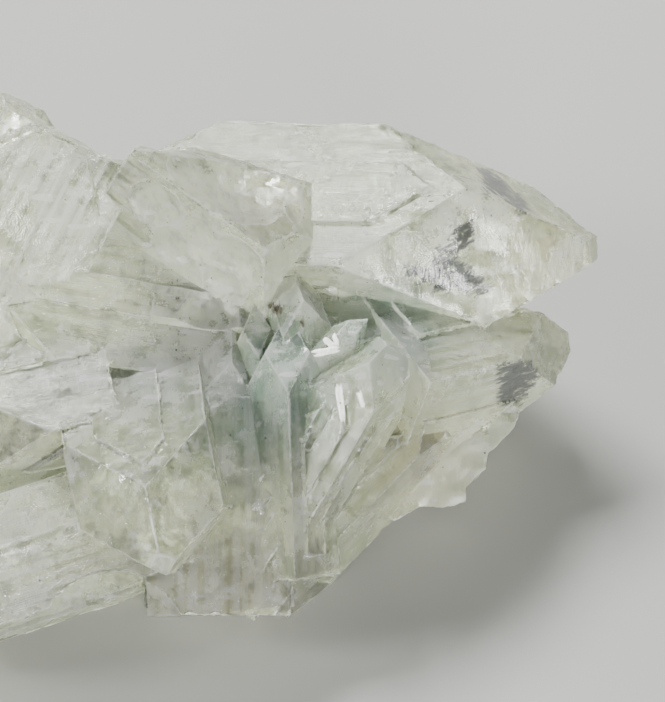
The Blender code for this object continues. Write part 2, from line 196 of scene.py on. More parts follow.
def fine_facets(bm):
    """Fills every flat facet with even triangles: its sides are divided into equal steps, a rim row follows
    them just inside, and a six-sided lattice of points fills the middle; a Delaunay triangulation joins them.
    Returns the points, the triangles and the facet each triangle lies in."""
    points = [np.array([v.co for v in bm.verts])]
    count = len(bm.verts)
    sides = {}
    for edge in bm.edges:
        start, end = (np.array(v.co) for v in edge.verts)
        parts = max(1, round(float(np.linalg.norm(end - start)) / EDGE_STEP))
        along = np.arange(1, parts)[:, None] / parts
        points.append(start + (end - start) * along)
        sides[edge.index] = (edge.verts[0].index, list(range(count, count + parts - 1)))
        count += parts - 1
    points = np.concatenate(points)
    extra, triangles, facet_of = [], [], []
    for face in bm.faces:
        ring = []
        for loop in face.loops:
            first, between = sides[loop.edge.index]
            ring.append(loop.vert.index)
            ring += between if first == loop.vert.index else between[::-1]
        if len(ring) == 3:
            triangles.append(ring)
            facet_of.append(face.index)
            continue
        normal = np.array(face.normal)
        right = np.cross(normal, [0, 0, 1] if abs(normal[2]) < 0.9 else [1, 0, 0])
        right /= np.linalg.norm(right)
        up = np.cross(normal, right)
        corner = points[ring[0]]
        outline = np.stack([(points[ring] - corner) @ right, (points[ring] - corner) @ up], 1)
        filling = np.zeros((0, 2))
        if face.calc_area() > FACE_STEP ** 2:
            low, high = outline.min(0), outline.max(0)
            rows = np.arange(low[1], high[1], FACE_STEP * 0.866)
            columns = np.arange(low[0], high[0], FACE_STEP)
            gx, gy = np.meshgrid(columns, rows)
            gx = gx + (np.arange(len(rows)) % 2)[:, None] * FACE_STEP / 2
            lattice = np.stack([gx.ravel(), gy.ravel()], 1)
            inside, gap = inside_outline(lattice, outline)
            lattice = lattice[inside & (gap > FACE_STEP * 0.55)]
            middle = (outline + np.roll(outline, -1, axis=0)) / 2
            run = np.roll(outline, -1, axis=0) - outline
            inward = np.stack([-run[:, 1], run[:, 0]], 1) / np.maximum(np.hypot(*run.T), 1e-9)[:, None]
            rim = middle + inward * RIM_WIDTH
            inside, gap = inside_outline(rim, outline)
            rim = rim[inside & (gap > RIM_WIDTH * 0.9)]
            filling = np.concatenate([rim, lattice])
        flat = np.concatenate([outline, filling]) / MM
        made = delaunay_2d_cdt([Vector(p) for p in flat], [], [list(range(len(ring)))], 1, 1e-5)
        base = count + sum(len(e) for e in extra)
        extra.append(corner + filling[:, :1] * right + filling[:, 1:] * up)
        source = [from_in[0] if from_in else None for from_in in made[3]]
        for triangle in made[2]:
            corners = [source[i] for i in triangle]
            if None in corners:
                continue
            triangles.append([ring[i] if i < len(ring) else base + i - len(ring) for i in corners])
            facet_of.append(face.index)
    points = np.concatenate([points] + extra)
    return points, np.array(triangles), np.array(facet_of)


# Tints and marks of the stone: each spot has its centre in the display plane, its radius and its strength.
# The first row, a blue-green tint, is partly painted shade that darkens the middle of the cluster; the last
# row is painted highlight, white flashes.
STONE_SPOTS = {
    "teal_and_shade": [((-8.0, -6.0), 9.0, 1.0), ((-6.0, 1.5), 5.0, 0.6), ((9.0, 2.0), 4.0, 0.6),
             ((-37.0, -3.0), 5.0, 0.35), ((6.0, 4.5), 6.0, 0.9), ((-24.0, -3.0), 6.0, 0.55),
             ((12.0, 0.0), 6.0, 0.5)],
    "yellow": [((27.0, 11.0), 6.5, 1.0), ((-15.0, -31.0), 9.0, 0.55), ((11.0, -15.5), 8.0, 0.9),
               ((-6.5, 18.0), 5.0, 0.6), ((14.0, -8.0), 7.0, 0.5)],
    "frost": [((31.0, 12.0), 4.0, 1.0), ((-23.0, -4.5), 5.0, 0.8), ((-2.0, 22.0), 4.0, 0.5),
              ((8.5, 0.8), 3.0, 0.6), ((-14.0, 12.0), 8.0, 0.7), ((18.0, -11.5), 3.5, 0.7),
              ((18.0, 4.0), 4.0, 0.7), ((-41.0, -30.0), 8.0, 0.5)],
    "dirt": [((-7.4, 5.4), 1.7, 1.0), ((-3.6, 3.6), 0.9, 1.0), ((-12.4, -16.5), 0.4, 1.0),
             ((-19.8, 6.8), 1.0, 0.9)],
    "striated": [((-36.0, 22.0), 13.0, 1.0), ((-15.0, -30.0), 8.0, 0.45), ((-36.0, -28.0), 9.0, 0.6),
                 ((18.0, -1.0), 6.0, 0.6), ((2.0, 15.0), 7.0, 0.4)],
    "flash_highlight": [((-22.0, -3.0), 2.2, 1.0), ((-7.5, -31.5), 2.0, 0.8), ((18.5, -10.8), 3.0, 0.8)],
}

# Clear patches where the frost is missing, smooth and painted dark: painted darkness of a dark surround
# seen through and reflected in the clear stone. Strength, and outline in the display plane.
CLEAR_WINDOWS = [
    (1.0, [(18.0, 24.9), (22.1, 23.6), (25.0, 20.8), (26.9, 17.7), (23.8, 17.4), (21.6, 19.2),
           (19.3, 20.5)]),
    (1.0, [(26.3, 17.0), (28.5, 17.0), (29.5, 15.9), (26.9, 15.8)]),
    (0.95, [(8.5, 12.3), (11.8, 11.5), (13.9, 14.3), (15.4, 16.7), (19.0, 17.6), (18.8, 13.6),
            (16.7, 12.0), (21.1, 8.9), (20.6, 6.6), (13.9, 7.1), (9.0, 9.2)]),
    (0.55, [(5.6, 19.5), (12.6, 21.8), (15.0, 18.7), (12.6, 16.1), (6.7, 16.4)]),
    (1.0, [(20.9, -1.4), (26.5, -0.6), (27.4, -3.7), (24.7, -7.4), (20.9, -7.4)]),
    (0.55, [(14.9, 0.1), (22.7, 3.2), (22.9, 1.7), (16.2, -0.9)]),
    (0.6, [(-29.6, -32.2), (-27.7, -27.0), (-24.9, -24.8), (-25.9, -30.9)]),
    (0.45, [(-41.3, -5.3), (-40.6, 1.4), (-34.9, 0.6), (-35.7, -5.3)]),
]
WINDOW_DEPTH_MM = -12.0
WINDOW_FADE_MM = 2.4

# The fine relief: the width, height and random key of the growth plates, the steps of the cleaved flakes, the
# wear of the edges and the depth of the chips.
GROWTH_STRIPS = ((2.6, 0.085, 5), (1.35, 0.05, 6))
FLAKE_STEP_MM = 0.11
WEAR_MM = 0.055
CHIP_MM = 0.75


def growth_coordinates(points, owner):
    """Each point's place on its crystal in millimetres: front, low side and along the axis from the tip.
    Points of broken facets keep their display coordinates."""
    place = shown(points)
    for number, (tip, heading, tilt, roll, *_) in enumerate(CRYSTALS.values()):
        mine = owner == number
        place[mine] = (points[mine] - placed(tip)) @ crystal_axes(heading, tilt, roll) / MM
    return place


def growth_steps(place, side, owner):
    """Relief of a prism face in millimetres: long narrow plates along the axis. Across the face a random
    height per strip, the strips' edges wandering along the axis, each strip ending in steps at random
    lengths."""
    across = np.where(side < 2, place[:, 1], place[:, 0])
    along = place[:, 2]
    seed = owner * 7.7 + side * 3.1
    wander = grain(np.stack([along * 0.12, seed, across * 0], 1), 1.0, 3)
    relief = np.zeros(len(across))
    for width, height, key in GROWTH_STRIPS:
        strip = np.floor(across / width + wander * 0.5 + seed)
        reach = np.floor(along / (width * 5.5) + strip * 0.37)
        mark = np.sin(strip * 127.1 + reach * 311.7 + key) * 43758.5453
        relief += height * (mark - np.floor(mark) - 0.5)
    return relief


def place_of_points(place, corner_point, count):
    """One growth coordinate for each point, that of any one of its corners."""
    result = np.zeros((count, 3))
    result[corner_point] = place
    return result


def terraces(place, mm):
    """Cleaved flakes in millimetres: the whole part of a slow noise gives flat levels with short steps
    between them. The noise is drawn out along the crystal, and a second noise keeps the flakes to patches."""
    drawn = place * np.array([0.45, 0.45, 0.16])
    levels = np.floor(3.4 * (grain(drawn, 1.0, 21) + 0.25 * grain(drawn, 0.4, 22)))
    patch = np.clip(3.0 * grain(mm, 9.0, 23) + 0.4, 0, 1)
    return FLAKE_STEP_MM * np.abs(levels) * patch


def round_spot(where, centre, radius):
    """A soft round mask in the display plane, from 1 at the centre to 0 well outside."""
    return np.exp(-((where[:, :2] - np.array(centre)) ** 2).sum(1) / radius ** 2)


def edge_gap(points, bm):
    """Each point's distance from the nearest sharp outward edge, found among points set along those edges."""
    sharp = []
    for edge in bm.edges:
        if len(edge.link_faces) == 2 and edge.calc_face_angle_signed(0) > SHARP_EDGE:
            start, end = (np.array(v.co) for v in edge.verts)
            parts = max(1, int(np.linalg.norm(end - start) / (0.3 * MM)))
            sharp.append(start + (end - start) * (np.arange(parts + 1)[:, None] / parts))
    sharp = np.concatenate(sharp)
    tree = KDTree(len(sharp))
    for i, p in enumerate(sharp):
        tree.insert(p, i)
    tree.balance()
    return np.array([tree.find(p)[2] for p in points])


def window(where, outline):
    """Mask of a clear patch: 1 inside an outline in the display plane, fading out at its sides, from each
    point's signed distance to the nearest side."""
    inside, gap = inside_outline(where[:, :2], np.asarray(outline, float))
    return np.clip(0.5 + np.where(inside, gap, -gap) / WINDOW_FADE_MM, 0, 1)


def paint_layers(mesh, where, gap, broken):
    """Writes the masks that the stone's material mixes: tints (the blue-green partly painted shade) and
    frost, dirt, edges and striated areas, clear windows (painted dark), spots of painted highlight and
    clouds."""
    shape = {name: sum(weight * round_spot(where, centre, radius) for centre, radius, weight in spots)
             for name, spots in STONE_SPOTS.items()}
    facing = where[:, 2] > WINDOW_DEPTH_MM
    clear = np.max([share * window(where, outline) for share, outline in CLEAR_WINDOWS], axis=0) * facing
    cloud = 0.5 + 0.32 * grain(where, 8.0, 31) + 0.22 * grain(where, 3.4, 32) + 0.12 * grain(where, 1.6, 33)
    patches = 0.30 * grain(where, 6.0, 34) + 0.22 * grain(where, 2.2, 35)
    frost = 0.30 + 0.45 * shape["frost"] + patches + 0.2 * broken
    layers = {
        "stone_tint": (shape["teal_and_shade"], shape["yellow"], frost),
        "stone_marks": (shape["dirt"], np.exp(-gap / 0.5), shape["striated"]),
        "stone_light": (clear, shape["flash_highlight"], cloud),
    }
    for name, channels in layers.items():
        layer = mesh.attributes.new(name, "FLOAT_VECTOR", "POINT")
        layer.data.foreach_set("vector", np.clip(np.stack(channels, 1), 0, 1).ravel().astype(np.float32))


def stone_surface(node):
    """The crystals' fine surface. Every point moves along its normal by the sum of: the growth steps of prism
    faces, a slow waviness, cleaved flakes, the roughness of broken facets, a worn rim and chips near the
    sharp edges. The base stays flat."""
    bm = cluster_facets(node)
    centres = np.array([f.calc_center_median() for f in bm.faces])
    facet_normals = np.array([f.normal for f in bm.faces])
    owner, side = facet_owners(centres, facet_normals)
    points, triangles, facet_of = fine_facets(bm)
    gap = edge_gap(points, bm) / MM
    bm.free()

    first = points[triangles[:, 0]]
    cross = np.cross(points[triangles[:, 1]] - first, points[triangles[:, 2]] - first)
    area = np.linalg.norm(cross, axis=1)
    corner_point = triangles.ravel()
    corner_owner = np.repeat(owner[facet_of], 3)
    corner_side = np.repeat(side[facet_of], 3)
    corner_area = np.repeat(area, 3) + 1e-15
    place = growth_coordinates(points[corner_point], corner_owner)
    relief = np.where(corner_side < 4, growth_steps(place, corner_side, corner_owner), 0.0)
    broken = (corner_owner < 0).astype(float)

    def gathered(values):
        """Area-weighted mean of a value over the triangles round each point."""
        total = np.bincount(corner_point, values * corner_area, len(points))
        return total / np.bincount(corner_point, corner_area, len(points))

    relief = gathered(relief)
    broken = gathered(broken)
    sums = [np.bincount(corner_point, np.repeat(cross[:, k], 3), len(points)) for k in range(3)]
    normal = np.stack(sums, 1)
    normal /= np.maximum(np.linalg.norm(normal, axis=1), 1e-15)[:, None]

    mm = points / MM
    waves = 0.10 * grain(mm, 7.0, 11) + 0.05 * grain(mm, 2.6, 12)
    flakes = terraces(place_of_points(place, corner_point, len(points)), mm)
    rough = 0.16 * np.abs(grain(mm, 2.2, 13)) + 0.10 * grain(mm, 1.1, 14) + 0.05 * grain(mm, 0.7, 15)
    wear = np.exp(-(gap / 0.10) ** 2) * WEAR_MM
    bite = np.clip(grain(mm, 1.7, 16) + 0.45 * grain(mm, 0.8, 17) - 0.42, 0, 1)
    chips = bite * np.exp(-(gap / 0.75) ** 2) * CHIP_MM
    lift = relief + waves - flakes + rough * broken - wear - chips
    lift *= np.clip((mm[:, 2] - 0.05) / 0.5, 0, 1)
    moved = points + normal * lift[:, None] * MM

    mesh = bpy.data.meshes.new("crystal_stone")
    mesh.from_pydata(moved, [], triangles)
    mesh.polygons.foreach_set("use_smooth", np.ones(len(triangles), bool))
    growth = mesh.attributes.new("growth", "FLOAT_VECTOR", "CORNER")
    across = np.where(corner_side < 2, place[:, 1], place[:, 0])
    kind = np.select([corner_side < 4, corner_side == 4], [0.0, 1.0], 2.0)
    growth.data.foreach_set("vector", np.stack([across, place[:, 2], kind], 1).ravel().astype(np.float32))

    paint_layers(mesh, shown(points), gap, broken)
    mesh.validate()
    mesh.set_sharp_from_angle(angle=SHADED_EDGE)
    piece = bpy.data.objects.new("crystal_stone", mesh)
    bpy.context.scene.collection.objects.link(piece)
    return piece


def node_group(name, inputs, outputs):
    """An empty shader node group with named float or vector sockets, its input and output nodes."""
    group = bpy.data.node_groups.new(name, "ShaderNodeTree")
    for socket, value in inputs.items():
        kind = "NodeSocketVector" if value is None else "NodeSocketFloat"
        made = group.interface.new_socket(name=socket, in_out="INPUT", socket_type=kind)
        if value is not None:
            made.default_value = value
    for socket in outputs:
        group.interface.new_socket(name=socket, in_out="OUTPUT", socket_type="NodeSocketFloat")
    return group, group.nodes.new("NodeGroupInput"), group.nodes.new("NodeGroupOutput")


class Wiring:
    """Short calls that add shader nodes to a tree and link them; each returns an output socket."""

    def __init__(self, tree):
        self.tree = tree

    def plug(self, source, socket):
        if isinstance(source, bpy.types.NodeSocket):
            self.tree.links.new(source, socket)
        else:
            socket.default_value = source

    def math(self, operation, first, second=0.0, third=0.0, clamp=False):
        node = self.tree.nodes.new("ShaderNodeMath")
        node.operation = operation
        node.use_clamp = clamp
        for socket, source in zip(node.inputs, (first, second, third)):
            self.plug(source, socket)
        return node.outputs[0]

    def ramp(self, value, low, high, to_low=0.0, to_high=1.0):
        node = self.tree.nodes.new("ShaderNodeMapRange")
        node.interpolation_type = "SMOOTHSTEP"
        for name, source in (("Value", value), ("From Min", low), ("From Max", high),
                             ("To Min", to_low), ("To Max", to_high)):
            self.plug(source, node.inputs[name])
        return node.outputs["Result"]

    def stretched(self, vector, scale):
        node = self.tree.nodes.new("ShaderNodeVectorMath")
        node.operation = "MULTIPLY"
        self.plug(vector, node.inputs[0])
        node.inputs[1].default_value = scale
        return node.outputs[0]

    def turned(self, vector, angle, scale):
        node = self.tree.nodes.new("ShaderNodeMapping")
        self.plug(vector, node.inputs["Vector"])
        node.inputs["Rotation"].default_value = (0.0, 0.0, math.radians(angle))
        node.inputs["Scale"].default_value = scale
        return node.outputs[0]

    def noise(self, vector, scale, detail, roughness):
        node = self.tree.nodes.new("ShaderNodeTexNoise")
        sources = {"Vector": vector, "Scale": scale, "Detail": detail, "Roughness": roughness}
        for name, source in sources.items():
            self.plug(source, node.inputs[name])
        return node.outputs["Fac"]

    def mixed(self, share, first, second):
        node = self.tree.nodes.new("ShaderNodeMix")
        node.data_type = "RGBA"
        self.plug(share, node.inputs["Factor"])
        for socket, source in ((node.inputs[6], first), (node.inputs[7], second)):
            self.plug(source if isinstance(source, bpy.types.NodeSocket) else (*source, 1.0), socket)
        return node.outputs[2]

    def attribute(self, name):
        node = self.tree.nodes.new("ShaderNodeAttribute")
        node.attribute_name = name
        split = self.tree.nodes.new("ShaderNodeSeparateXYZ")
        self.tree.links.new(node.outputs["Vector"], split.inputs[0])
        return node.outputs["Vector"], split.outputs

    def placed_group(self, group, **sources):
        node = self.tree.nodes.new("ShaderNodeGroup")
        node.node_tree = group
        for name, source in sources.items():
            self.plug(source, node.inputs[name])
        return node.outputs

    def bumped(self, height, strength, distance, shader):
        node = self.tree.nodes.new("ShaderNodeBump")
        node.inputs["Strength"].default_value = strength
        node.inputs["Distance"].default_value = distance
        self.plug(height, node.inputs["Height"])
        self.plug(node.outputs[0], shader.inputs["Normal"])


def new_look(name):
    """A material with its own wiring, its shader and the object coordinates."""
    made = bpy.data.materials.new(name)
    made.use_nodes = True
    w = Wiring(made.node_tree)
    place = made.node_tree.nodes.new("ShaderNodeTexCoord").outputs["Object"]
    return made, w, made.node_tree.nodes["Principled BSDF"], place


def growth_lines_group():
    """Striations along a crystal: noise stretched along its axis, in a fine and a coarse set of lines."""
    inputs = {"Growth": None, "Fine": 6.0, "Coarse": 0.9}
    group, given, result = node_group("growth_lines", inputs, ["Lines", "Bands"])
    w = Wiring(group)
    narrow = w.stretched(given.outputs["Growth"], (1.0, 0.05, 0.0))
    wide = w.stretched(given.outputs["Growth"], (1.0, 0.03, 0.0))
    w.plug(w.noise(narrow, given.outputs["Fine"], 3.0, 0.65), result.inputs["Lines"])
    w.plug(w.noise(wide, given.outputs["Coarse"], 2.0, 0.5), result.inputs["Bands"])
    return group


def speck_group():
    """Scattered specks: cells whose centre is near, kept where the cell's own chance is below a share."""
    inputs = {"Vector": None, "Scale": 400.0, "Size": 0.2, "Share": 0.1}
    group, given, result = node_group("specks", inputs, ["Mask"])
    w = Wiring(group)
    cells = group.nodes.new("ShaderNodeTexVoronoi")
    w.plug(given.outputs["Vector"], cells.inputs["Vector"])
    w.plug(given.outputs["Scale"], cells.inputs["Scale"])
    split = group.nodes.new("ShaderNodeSeparateXYZ")
    w.plug(cells.outputs["Color"], split.inputs[0])
    reach = w.math("MULTIPLY", split.outputs[1], given.outputs["Size"])
    near = w.math("LESS_THAN", cells.outputs["Distance"], reach)
    chosen = w.math("LESS_THAN", split.outputs[0], given.outputs["Share"])
    w.plug(w.math("MULTIPLY", near, chosen), result.inputs["Mask"])
    return group


def satin_group():
    """Satin of a cleaved mineral face: fine scratch lines, a noise that is drawn out in one direction."""
    group, given, result = node_group("mineral_satin", {"Vector": None, "Grain": 1100.0}, ["Height"])
    w = Wiring(group)
    drawn = w.stretched(given.outputs["Vector"], (0.9, 0.3, 0.5))
    w.plug(w.noise(drawn, given.outputs["Grain"], 4.0, 0.72), result.inputs["Height"])
    return group


GROWTH_LINES = growth_lines_group()
SPECKS = speck_group()
SATIN = satin_group()

# Colours, linear.
STONE_PALE = (0.88, 0.91, 0.64)
STONE_CLOUD = (0.58, 0.64, 0.41)
# Blue-green tint, partly painted shade in the middle of the cluster.
STONE_TEAL_AND_SHADE = (0.24, 0.38, 0.32)
STONE_YELLOW = (0.80, 0.77, 0.48)
# Painted shade: the colour that darkens recesses, satin grooves and dark stripes along striations.
STONE_SHADE = (0.11, 0.13, 0.10)
# White of frost and worn edges, and of painted highlights: sparkling flecks, glints, flashes and stripes
# along striations.
STONE_WHITE = (0.97, 0.98, 0.95)
# Painted darkness of the clear windows: a dark surround seen through and reflected in the clear stone.
WINDOW_PAINTED_DARK = (0.075, 0.078, 0.092)
DIRT_BROWN = (0.06, 0.035, 0.02)
SPECK_BLACK = (0.03, 0.03, 0.02)

SPLINTER_GREY = (0.66, 0.66, 0.60)
SPLINTER_WHITE = (0.92, 0.92, 0.88)
VEIL_FILM = (0.93, 0.95, 0.92, 1)
TABLE_GREY = (0.25, 0.25, 0.24, 1)

# The clear stone under the skin.
STONE_TRANSMISSION = 0.80
STONE_IOR = 1.535
STONE_ABSORBS = (0.80, 0.84, 0.66, 1)
STONE_DENSITY = 10.0

# Where each mask of the stone starts and is full.
FROST_RANGE = (0.72, 1.05)
WORN_RANGE = (1.0, 1.3)
CLEAR_RANGE = (0.78, 0.90)
GLINT_RANGE = (0.55, 0.66)
# Painted highlight and painted shade of the stripes along striations.
CLOUD_RANGE = (0.60, 0.95)
BAND_HIGHLIGHT_RANGE = (0.47, 0.58)
BAND_SHADE_RANGE = (0.38, 0.47)
SOIL_RANGE = (1.05, 1.2)


def apophyllite():
    """The stone: pale grey-green glass with a satin skin. Frost whitens and roughens it, clear windows are
    smooth and painted dark, a painted reflection of a dark surround. Painted shade darkens recesses and
    grooves, painted highlights whiten it in sparkling flecks, glints, flashes and stripes along striations,
    and tints (the blue-green partly painted shade), dirt and specks follow the painted layers."""
    made, w, shader, place = new_look("apophyllite")
    shader.inputs["Transmission Weight"].default_value = STONE_TRANSMISSION
    shader.inputs["IOR"].default_value = STONE_IOR
    growth, along = w.attribute("growth")
    tint = w.attribute("stone_tint")[1]
    marks = w.attribute("stone_marks")[1]
    light = w.attribute("stone_light")[1]
    lines = w.placed_group(GROWTH_LINES, Growth=growth)
    satin = w.placed_group(SATIN, Vector=place)
    torn = w.noise(place, 420.0, 4.0, 0.74)
    on_prism = w.math("LESS_THAN", along[2], 0.5)

    frost = w.ramp(w.math("MULTIPLY_ADD", torn, 0.9, tint[2]), *FROST_RANGE)
    worn = w.ramp(w.math("MULTIPLY_ADD", torn, 0.9, marks[1]), *WORN_RANGE)
    streaks = w.noise(w.stretched(growth, (1.0, 0.22, 0.0)), 2.2, 3.0, 0.75)
    clear = w.ramp(w.math("MULTIPLY_ADD", light[0], 0.46, streaks), *CLEAR_RANGE)
    # Painted sparkle: slanted white flecks, and glints, on the frosted skin stand in for glittering
    # highlights.
    slanted = w.turned(place, -35.0, (0.28, 1.0, 0.8))
    flecks = w.placed_group(SPECKS, Vector=slanted, Scale=1300.0, Size=0.8, Share=0.22)
    white = w.math("MULTIPLY", flecks["Mask"], w.ramp(tint[2], 0.15, 0.6, 0.35, 1.0))
    glints = w.math("MULTIPLY", w.ramp(satin["Height"], *GLINT_RANGE), w.ramp(tint[2], 0.2, 0.7, 0.45, 1.0))
    white = w.math("MAXIMUM", white, glints)
    white = w.math("MAXIMUM", white, w.math("MULTIPLY", worn, 0.8))
    white = w.math("MAXIMUM", white, w.math("MULTIPLY", frost, 0.42))
    # Painted highlight: white flashes on a few spots, the second channel of stone_light.
    white = w.math("MAXIMUM", white, w.math("MULTIPLY", light[1], w.ramp(torn, 0.4, 0.55)))
    # Painted highlight and painted shade along the striations: white stripes and dark stripes on the striated
    # areas of prism faces.
    striated = w.math("MULTIPLY", on_prism, w.math("MULTIPLY_ADD", marks[2], 0.65, 0.25))
    band_highlights = w.math("MULTIPLY", w.ramp(lines["Bands"], *BAND_HIGHLIGHT_RANGE), striated)
    white = w.math("MAXIMUM", white, band_highlights)

    cloud = w.ramp(w.math("MULTIPLY_ADD", torn, 0.5, light[2]), *CLOUD_RANGE)
    colour = w.mixed(cloud, STONE_PALE, STONE_CLOUD)
    # Painted shade: darker towards STONE_SHADE where the torn noise is low and in the low places of the satin
    # bump, shade painted into recesses and grooves.
    hollow_shade = w.ramp(torn, 0.36, 0.52, 0.6, 0.0)
    groove_shade = w.ramp(satin["Height"], 0.34, 0.48, 0.6, 0.0)
    shade = w.math("MAXIMUM", hollow_shade, groove_shade)
    band_shade = w.math("MULTIPLY", w.ramp(lines["Bands"], *BAND_SHADE_RANGE, 0.95, 0.0), striated)
    colour = w.mixed(w.math("MAXIMUM", shade, band_shade), colour, STONE_SHADE)
    # Blue-green tint, partly painted shade: it darkens the middle of the cluster and round the flash spots.
    colour = w.mixed(w.math("MULTIPLY", tint[0], w.ramp(torn, 0.25, 0.65, 0.45, 1.0)), colour, STONE_TEAL_AND_SHADE)
    colour = w.mixed(w.math("MULTIPLY", tint[1], 0.7), colour, STONE_YELLOW)
    # White: frost and worn edges, and painted highlights.
    colour = w.mixed(white, colour, STONE_WHITE)
    # Painted darkness in the clear windows, standing in for a dark surround seen through and reflected.
    colour = w.mixed(w.math("MULTIPLY", clear, w.ramp(glints, 0.3, 0.9, 1.0, 0.3)), colour, WINDOW_PAINTED_DARK)
    soil = w.ramp(w.math("MULTIPLY_ADD", marks[0], 0.75, satin["Height"]), *SOIL_RANGE)
    colour = w.mixed(w.math("MULTIPLY", soil, 0.95), colour, DIRT_BROWN)
    black = w.placed_group(SPECKS, Vector=place, Scale=2000.0, Size=0.30, Share=0.03)
    colour = w.mixed(black["Mask"], colour, SPECK_BLACK)
    w.plug(colour, shader.inputs["Base Color"])

    rough = w.math("MULTIPLY_ADD", frost, 0.26, 0.15)
    rough = w.math("MULTIPLY_ADD", worn, 0.25, rough)
    rough = w.math("MULTIPLY", rough, w.math("MULTIPLY_ADD", clear, -0.7, 1.0), clamp=True)
    w.plug(rough, shader.inputs["Roughness"])

    fine = w.math("MULTIPLY", w.math("SUBTRACT", lines["Lines"], 0.5), w.math("MULTIPLY", on_prism, 0.12))
    height = w.math("MULTIPLY_ADD", satin["Height"], w.math("MULTIPLY_ADD", tint[2], 0.14, 0.05), fine)
    w.bumped(height, 0.85, 1.0 * MM, shader)

    absorb = w.tree.nodes.new("ShaderNodeVolumeAbsorption")
    absorb.inputs["Color"].default_value = STONE_ABSORBS
    absorb.inputs["Density"].default_value = STONE_DENSITY
    w.plug(absorb.outputs[0], w.tree.nodes["Material Output"].inputs["Volume"])
    return made


def new_piece(name, parts, look):
    """One object from several closed surfaces, each a pair of points and faces, on the cluster's body."""
    points = np.concatenate([p for p, _ in parts])
    starts = np.cumsum([0] + [len(p) for p, _ in parts[:-1]])
    faces = np.concatenate([f + start for (_, f), start in zip(parts, starts)])
    mesh = bpy.data.meshes.new(name)
    mesh.from_pydata(points, [], faces)
    mesh.polygons.foreach_set("use_smooth", np.ones(len(faces), bool))
    mesh.materials.append(look)
    piece = bpy.data.objects.new(name, mesh)
    bpy.context.scene.collection.objects.link(piece)
    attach(piece, "root")
    return piece


def ring_faces(rings, around):
    """Faces between neighbouring rings of points, and two fans that close the ends on a pole each. The poles
    are the last two points."""
    i, j = np.meshgrid(np.arange(rings - 1), np.arange(around), indexing="ij")
    a = (i * around + j).ravel()
    b = (i * around + (j + 1) % around).ravel()
    wall = np.concatenate([np.stack([a, b, b + around], 1), np.stack([a, b + around, a + around], 1)])
    k = np.arange(around)
    first = np.stack([np.full(around, rings * around), (k + 1) % around, k], 1)
    base = (rings - 1) * around
    last = np.stack([np.full(around, rings * around + 1), base + k, base + (k + 1) % around], 1)
    return np.concatenate([wall, first, last])


def needle(start, end, width, thickness, seed, rings=26, around=12):
    """A lath-shaped needle in display millimetres: a flat rounded section, |x|^3 + |y|^3 = 1, carried from
    start to end. Its width is full in the middle and narrows to both tips as 1 - |2s - 1|^6, with fine
    grooves along it."""
    start, end = np.asarray(start, float), np.asarray(end, float)
    along = end - start
    side = np.cross(along, (0, 0, 1.0))
    side /= np.linalg.norm(side)
    up = np.cross(side, along)
    up /= np.linalg.norm(up)
    s = np.linspace(0.0, 1.0, rings)[:, None]
    angle = np.linspace(0, 2 * np.pi, around, endpoint=False)[None, :]
    fit = (np.abs(np.cos(angle)) ** 3 + np.abs(np.sin(angle)) ** 3) ** (-1 / 3)
    swell = np.clip(1 - np.abs(2 * s - 1) ** 6, 0.12, 1) * (1 + 0.10 * np.sin(9 * s + seed))
    groove = 1 + 0.07 * np.sin(angle * 5 + seed) + 0.03 * np.sin(40 * s + 3 * angle + seed)
    x = width / 2 * swell * fit * np.cos(angle) * groove
    y = thickness / 2 * swell * fit * np.sin(angle) * groove
    points = start + s[..., None] * along + x[..., None] * side + y[..., None] * up
    poles = np.stack([start - along * 0.01, end + along * 0.01])
    return placed(np.concatenate([points.reshape(-1, 3), poles])), ring_faces(rings, around)


def splinter(name, blades, look):
    """A white splinter in place of the CAD one of its name: each blade is a bundle of needles side by side,
    laid between the lowest and highest level of the CAD splinter."""
    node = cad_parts[name]
    level = shown(np.array([v.co[:] for v in node.data.vertices]))[:, 2]
    low, high = level.min(), level.max()
    rng = np.random.default_rng(len(name))
    parts = []
    for start, end, width, count in blades:
        start, end = np.array(start), np.array(end)
        along = end - start
        side = np.array([-along[1], along[0]]) / np.linalg.norm(along)
        for share in (np.arange(count) + 0.5) / count - 0.5:
            shift = side * share * width + side * rng.uniform(-0.02, 0.02)
            a = start + shift + along * rng.uniform(0.0, 0.16)
            b = end + shift * 0.7 - along * rng.uniform(0.0, 0.14)
            height = low + (high - low) * rng.uniform(0.35, 0.65, 2)
            parts.append(needle((*a, height[0]), (*b, height[1]), width / count * 1.7, (high - low) * 0.62,
                                seed=rng.uniform(0, 6)))
    piece = new_piece(name + "_needles", parts, look)
    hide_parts(name)


def white_zeolite():
    """The splinters' stone: chalky white with a silky grain and a few specks of dirt."""
    made, w, shader, place = new_look("white_zeolite")
    satin = w.placed_group(SATIN, Vector=place, Grain=2400.0)
    black = w.placed_group(SPECKS, Vector=place, Scale=1500.0, Size=0.3, Share=0.05)
    tone = w.ramp(satin["Height"], 0.35, 0.65)
    colour = w.mixed(tone, SPLINTER_GREY, SPLINTER_WHITE)
    w.plug(w.mixed(black["Mask"], colour, DIRT_BROWN), shader.inputs["Base Color"])
    w.plug(w.math("MULTIPLY_ADD", tone, -0.2, 0.6), shader.inputs["Roughness"])
    w.bumped(satin["Height"], 0.4, 0.1 * MM, shader)
    return made


# White splinters: start and end in the display plane, width, and number of needles.
SPLINTER_BLADES = {
    "white_splinter_spray": [((-2.7, -0.4), (1.0, 0.3), 0.8, 3), ((0.3, 0.4), (-1.2, 1.7), 0.6, 2),
                             ((0.7, 0.5), (0.1, 2.3), 0.5, 2)],
    "white_splinter_long": [((0.6, -3.6), (1.4, -9.2), 0.85, 5)],
    "white_splinter_short": [((3.3, -5.0), (3.9, -7.2), 0.55, 3)],
}


